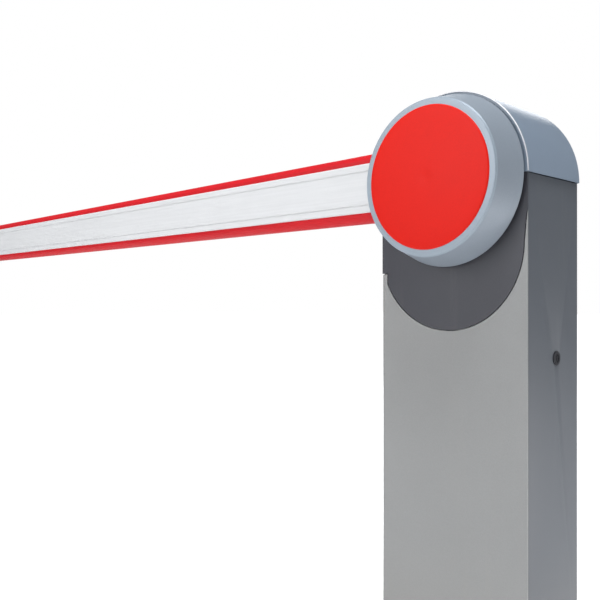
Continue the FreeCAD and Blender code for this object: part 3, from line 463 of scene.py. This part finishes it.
trim_low, trim_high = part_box("dome_trim")
trim_radius = (trim_high.x - trim_low.x) / 2
trim_round = 0.0005
trim_lap = 0.0008
trim_inner = dome_radius - trim_lap
bright_group = finish_group("bright_anodised", 12.0, 700.0)
trim_metal = coated("trim_aluminium", bright_group, (0.6, 0.6, 0.62), (0.3, 0.4),
                    0.1, 0.02, 0.0, 0.3)
trim = turned("dome_edge_trim", [(trim_inner, trim_high.y), (trim_inner, trim_low.y)]
              + rounded((trim_radius - trim_round, trim_low.y + trim_round), trim_round, -90, 0, 4)
              + [(trim_radius, trim_high.y)])
keep_above(trim, trim_low.z)
settle(trim, trim_metal, "cabinet", ["dome_trim"])

# ---------------------------------------------------------------------------------------------
# Drum: the aluminium casting on the end of the boom shaft, a cone with a slot where the boom goes
# in. A turned bright ring closes its front, and the red moulded disc snaps into the ring.

ring_low, ring_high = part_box("drum_ring")
ring_radius = (ring_high.x - ring_low.x) / 2
drum_radius = (drum_high.x - drum_low.x) / 2
disc_low, disc_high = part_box("disc_cover")
disc_radius = (disc_high.x - disc_low.x) / 2
drum_wall = 0.006
drum_back_wall = 0.008
back_round = 0.003
front_radius = ring_radius - 0.0004
shaft_hole = 0.0176
inside_back = drum_high.y - drum_back_wall
inside_radius = drum_radius - drum_wall - 0.0015
fine_steps = 256
drum_profile = [(front_radius, drum_low.y)]
drum_profile += rounded((drum_radius - back_round, drum_high.y - back_round), back_round, 10, 90)
drum_profile += [(shaft_hole, drum_high.y), (shaft_hole, inside_back)]
drum_profile += [(inside_radius, inside_back), (front_radius - drum_wall, drum_low.y)]
drum_paint = coated("drum_paint", powder_group, (0.255, 0.289, 0.333), (0.44, 0.52),
                    0.16, 0.03, 0.0, 0.1, specular=0.35)
drum = turned("drum_shell", drum_profile, fine_steps)

boom_low, boom_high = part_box("boom_profile")
edge_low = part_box("lower_edge_rubber")[0]
edge_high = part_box("upper_edge_rubber")[1]
slot_gap = 0.002
slot_corner = 0.003
slot_height = edge_high.z - edge_low.z + 2 * slot_gap
slot_depth = boom_high.y - boom_low.y + slot_gap
deselect()
bpy.ops.mesh.primitive_cube_add(
    size=1.0, location=(-drum_radius, boom_high.y - slot_depth / 2, axis_z),
    scale=(drum_radius, slot_depth, slot_height))
cutter = bpy.context.object
bpy.ops.object.mode_set(mode="EDIT")
bpy.ops.mesh.select_all(action="SELECT")
bpy.ops.mesh.bevel(offset=slot_corner, segments=3, affect="EDGES")
bpy.ops.object.mode_set(mode="OBJECT")
cut = drum.modifiers.new("boom_slot", "BOOLEAN")
cut.object = cutter
cut.operation = "DIFFERENCE"
cut.solver = "EXACT"
deselect()
bpy.context.view_layer.objects.active = drum
drum.select_set(True)
bpy.ops.object.modifier_apply(modifier="boom_slot")
bpy.data.objects.remove(cutter)
settle(drum, drum_paint, "boom", ["drum_housing"])

ring_round = 0.0018
ring_taper = 0.0013
ring_inner = 0.119
round_centre = (ring_radius - ring_round - ring_taper, ring_low.y + ring_round)
ring_profile = [(ring_inner, ring_high.y), (ring_inner, ring_low.y)]
ring_profile += rounded(round_centre, ring_round, -90, 15)
ring_profile += [(ring_radius, ring_high.y)]
ring_paint = coated("ring_satin", bright_group, (0.31, 0.36, 0.415), (0.36, 0.44),
                    0.1, 0.02, 0.0, 0.1, specular=0.3)
ring = turned("drum_front_ring", ring_profile, fine_steps)
settle(ring, ring_paint, "boom", ["drum_ring"])

crown = 0.0028
disc_edge = 0.0042
lip_wall = 0.003
disc_fit = 0.0001
disc_pole = 0.0004
gate_mark_radius = 0.0115
gate_mark_floor = 0.0095
front_y = disc_low.y
rim_y = front_y + crown
lip_back = ring_high.y
lip_radius = ring_inner - disc_fit
disc_profile = [(disc_radius, ring_low.y + disc_fit)]
disc_profile += rounded((disc_radius - disc_edge, rim_y + disc_edge), disc_edge, 0, -84, 8)
for k in range(1, 11):
    share = 1.0 - k / 12
    disc_profile.append(((disc_radius - disc_edge) * share, front_y + crown * share ** 2))
disc_profile += [(gate_mark_radius, front_y), (gate_mark_floor, front_y + 0.0002)]
disc_profile += [(disc_pole, front_y + 0.0003), (disc_pole, rim_y + lip_wall)]
disc_profile += [(ring_inner - lip_wall, rim_y + lip_wall), (ring_inner - lip_wall, lip_back)]
disc_profile += [(lip_radius, lip_back), (lip_radius, ring_low.y + disc_fit)]
moulded_group = finish_group("moulded_plastic", 3.5, 480.0)
red_plastic = coated("red_moulded_plastic", moulded_group, (0.68, 0.012, 0.006), (0.42, 0.5),
                     0.14, 0.03, specular=0.14)
disc = turned("red_disc", disc_profile, fine_steps)
settle(disc, red_plastic, "boom", ["disc_cover"])

# ---------------------------------------------------------------------------------------------
# Boom: an extruded aluminium profile in white powder coat, with a shallow groove above and below,
# a filler block where it is clamped, and a hollow red rubber along each edge. A moulded black cap
# is screwed on its tip.

extruded_group = finish_group("extruded_coat", 1.6, 240.0, True)
boom_white = coated("boom_white", extruded_group, (0.66, 0.66, 0.665), (0.34, 0.44),
                    0.1, 0.02, 0.12)
dress(boom_white, "boom_profile")
rubber_group = finish_group("rubber_skin", 5.0, 900.0)
red_rubber = coated("red_rubber", rubber_group, (0.56, 0.006, 0.012), (0.42, 0.55),
                    0.3, 0.05, specular=0.25)
dress(red_rubber, "upper_edge_rubber", "lower_edge_rubber")
black_plastic = coated("black_plastic", moulded_group, (0.022, 0.022, 0.024), (0.4, 0.55),
                       0.3, 0.05)
dress(black_plastic, "motor_end_cap", "limit_switches", "cable_glands", "switch_cams")

cap_low, cap_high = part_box("boom_tip_cap")
cap_centre = (cap_low + cap_high) / 2
cap_size = cap_high - cap_low
cap_corner = 0.012
cap_rim = 0.0012
cap_ramp = 0.0028
cap_recess = 0.0007
deselect()
bpy.ops.mesh.primitive_cube_add(size=1.0, location=cap_centre, scale=cap_size)
cap = bpy.context.object
cap.name = "tip_cap_moulding"
bpy.ops.object.transform_apply(location=True, rotation=True, scale=True)
bpy.ops.object.mode_set(mode="EDIT")
bpy.ops.mesh.select_mode(type="EDGE")
bpy.ops.mesh.select_all(action="DESELECT")
bpy.ops.object.mode_set(mode="OBJECT")
for edge in cap.data.edges:
    ends = [cap.data.vertices[k].co for k in edge.vertices]
    edge.select = abs(ends[0].x - ends[1].x) > cap_size.x / 2
bpy.ops.object.mode_set(mode="EDIT")
bpy.ops.mesh.bevel(offset=cap_corner, segments=8, affect="EDGES")
bpy.ops.mesh.select_mode(type="FACE")
bpy.ops.mesh.select_all(action="DESELECT")
bpy.ops.object.mode_set(mode="OBJECT")
for face in cap.data.polygons:
    face.select = face.normal.x < -0.9
bpy.ops.object.mode_set(mode="EDIT")
bpy.ops.mesh.inset(thickness=cap_rim, depth=0.0)
bpy.ops.mesh.inset(thickness=cap_ramp, depth=0.0)
bpy.ops.transform.translate(value=(cap_recess, 0.0, 0.0))
bpy.ops.mesh.select_mode(type="VERT")
bpy.ops.object.mode_set(mode="OBJECT")
soften = cap.modifiers.new("moulded_edge", "BEVEL")
soften.width = 0.0005
soften.segments = 2
soften.limit_method = "ANGLE"
soften.angle_limit = math.radians(35)
bpy.ops.object.modifier_apply(modifier="moulded_edge")
settle(cap, black_plastic, "boom", ["boom_tip_cap"])

screw_metal = coated("screw_steel", zinc_group, (0.5, 0.5, 0.5), (0.25, 0.4), 0.1, 0.1, 0.0, 1.0)


def pan_screw(name, centre, radius, height, direction, body):
    """Pan-head screw with a round socket; direction is the outward axis letter with its sign."""
    turn = {"-x": (0.0, -math.pi / 2, 0.0), "-y": (math.pi / 2, 0.0, 0.0)}[direction]
    socket_depth = height * 0.45
    inward = {"-x": (socket_depth, 0.0, 0.0), "-y": (0.0, socket_depth, 0.0)}[direction]
    deselect()
    bpy.ops.mesh.primitive_cylinder_add(vertices=36, radius=radius, depth=height, rotation=turn,
                                        location=centre)
    made = bpy.context.object
    made.name = name
    bpy.ops.object.mode_set(mode="EDIT")
    bpy.ops.mesh.select_all(action="DESELECT")
    bpy.ops.object.mode_set(mode="OBJECT")
    for face in made.data.polygons:
        face.select = face.normal.z > 0.9
    bpy.ops.object.mode_set(mode="EDIT")
    bpy.ops.mesh.bevel(offset=radius * 0.18, segments=3, affect="EDGES")
    bpy.ops.mesh.select_all(action="DESELECT")
    bpy.ops.object.mode_set(mode="OBJECT")
    widest = max(made.data.polygons, key=lambda face: face.center.z * 1000 + face.area)
    widest.select = True
    bpy.ops.object.mode_set(mode="EDIT")
    bpy.ops.mesh.inset(thickness=radius * 0.4, depth=0.0)
    bpy.ops.mesh.extrude_region_move(TRANSFORM_OT_translate={"value": inward})
    bpy.ops.transform.resize(value=(0.96, 0.96, 0.96))
    bpy.ops.object.mode_set(mode="OBJECT")
    settle(made, screw_metal, body, [])


tip_screw_x = cap_low.x + 0.0012
tip_screw_spread = 0.033
for k, side in enumerate((-1, 1)):
    pan_screw(f"tip_screw_{k}",
              (tip_screw_x, cap_centre.y, cap_centre.z + side * tip_screw_spread),
              0.0042, 0.0022, "-x", "boom")

# ---------------------------------------------------------------------------------------------
# Drive and bearings: housings, hub, crank and lever are aluminium castings, shafts, races and pins
# are ground steel, and two rubber buffers on bolts take the boom's ends of travel.

cast_group = finish_group("cast_aluminium", 9.0, 260.0)
cast_metal = coated("cast_aluminium", cast_group, (0.56, 0.57, 0.58), (0.42, 0.58),
                    0.55, 0.08, 0.0, 0.9)
dress(cast_metal, "boom_insert", "bearing_housing", "gearbox_housing", "gearbox_cover", "arm_hub",
      "crank_arm", "rocker_lever")
machined_group = finish_group("machined_steel", 14.0, 300.0)
machined = coated("machined_steel", machined_group, (0.58, 0.57, 0.55), (0.2, 0.32),
                  0.12, 0.05, 0.0, 1.0)
dress(machined, "main_shaft", "bearing_outer_races", "bearing_inner_races", "output_shaft",
      "crank_pin", "lever_pins", "rod_ends")
buffer_rubber = coated("buffer_rubber", rubber_group, (0.02, 0.02, 0.02), (0.6, 0.75),
                       0.4, 0.05)
dress(buffer_rubber, "stop_buffers")

# ---------------------------------------------------------------------------------------------
# Balance spring: an oil-hardened steel extension spring wound round two threaded plugs. It is
# stretched when the boom is down and shortens as the boom rises.

spring_low, spring_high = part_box("balance_spring")
wire = 0.006
spring_x = (spring_low.x + spring_high.x) / 2
spring_y = (spring_low.y + spring_high.y) / 2
coil_radius = (spring_high.x - spring_low.x) / 2 - wire / 2
plug_length = 0.02
turns = 40
plug_showing = plug_length * 0.4
plug_radius = coil_radius - wire / 2 - 0.0003
coil_low = spring_low.z + plug_showing
coil_height = spring_high.z - spring_low.z - 2 * plug_showing
deselect()
bpy.ops.mesh.primitive_circle_add(vertices=12, radius=wire / 2, location=(coil_radius, 0.0, 0.0),
                                  rotation=(math.pi / 2, 0.0, 0.0))
spring = bpy.context.object
spring.name = "balance_spring_coil"
bpy.ops.object.transform_apply(location=True, rotation=True, scale=True)
bpy.ops.object.mode_set(mode="EDIT")
bpy.ops.mesh.select_all(action="SELECT")
bpy.ops.transform.translate(value=(0.0, 0.0, wire / 2))
bpy.ops.object.mode_set(mode="OBJECT")
wind = spring.modifiers.new("wind", "SCREW")
wind.axis = "Z"
wind.angle = 2 * math.pi
wind.screw_offset = (coil_height - wire) / turns
wind.iterations = turns
wind.steps = 22
wind.render_steps = 22
bpy.ops.object.modifier_apply(modifier="wind")
bpy.ops.object.mode_set(mode="EDIT")
bpy.ops.mesh.select_all(action="DESELECT")
bpy.ops.mesh.select_non_manifold()
bpy.ops.mesh.edge_face_add()
bpy.ops.mesh.select_all(action="SELECT")
bpy.ops.mesh.normals_make_consistent(inside=False)
bpy.ops.object.mode_set(mode="OBJECT")
spring.location = (spring_x, spring_y, coil_low)
bpy.ops.object.transform_apply(location=True)
spring_parts = [spring]
for plug_z in (spring_low.z + plug_length / 2, spring_high.z - plug_length / 2):
    bpy.ops.mesh.primitive_cylinder_add(vertices=48, radius=plug_radius, depth=plug_length,
                                        location=(spring_x, spring_y, plug_z))
    spring_parts.append(bpy.context.object)
deselect()
for part in spring_parts:
    part.select_set(True)
bpy.context.view_layer.objects.active = spring
bpy.ops.object.join()
spring_steel = coated("spring_steel", machined_group, (0.035, 0.035, 0.04), (0.28, 0.4),
                      0.1, 0.1, 0.0, 0.7)
settle(spring, spring_steel, "cabinet", ["balance_spring"])
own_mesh(spring)

# ---------------------------------------------------------------------------------------------
# Motor and its capacitor, and the control box on the back wall: a ribbed steel motor casing in
# dark enamel, and a grey moulded box with its lid, cable glands and printed circuit board.

motor_enamel = coated("motor_enamel", powder_group, (0.03, 0.035, 0.045), (0.35, 0.5),
                      0.3, 0.05)
dress(motor_enamel, "motor_casing")
box_plastic = coated("box_plastic", moulded_group, (0.5, 0.51, 0.5), (0.45, 0.55),
                     0.25, 0.03)
dress(box_plastic, "control_box", "control_box_lid", "capacitor")
lid_low, lid_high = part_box("control_box_lid")
lid_inset = 0.009
lid_screw_y = lid_low.y - 0.0008
lid_corners = [(x, z) for x in (lid_low.x + lid_inset, lid_high.x - lid_inset)
               for z in (lid_low.z + lid_inset, lid_high.z - lid_inset)]
for k, (x, z) in enumerate(lid_corners):
    pan_screw(f"lid_screw_{k}", (x, lid_screw_y, z), 0.0038, 0.002, "-y", "cabinet")
board_green = coated("board_green", moulded_group, (0.02, 0.16, 0.06), (0.25, 0.4), 0.1, 0.1)
dress(board_green, "control_board")
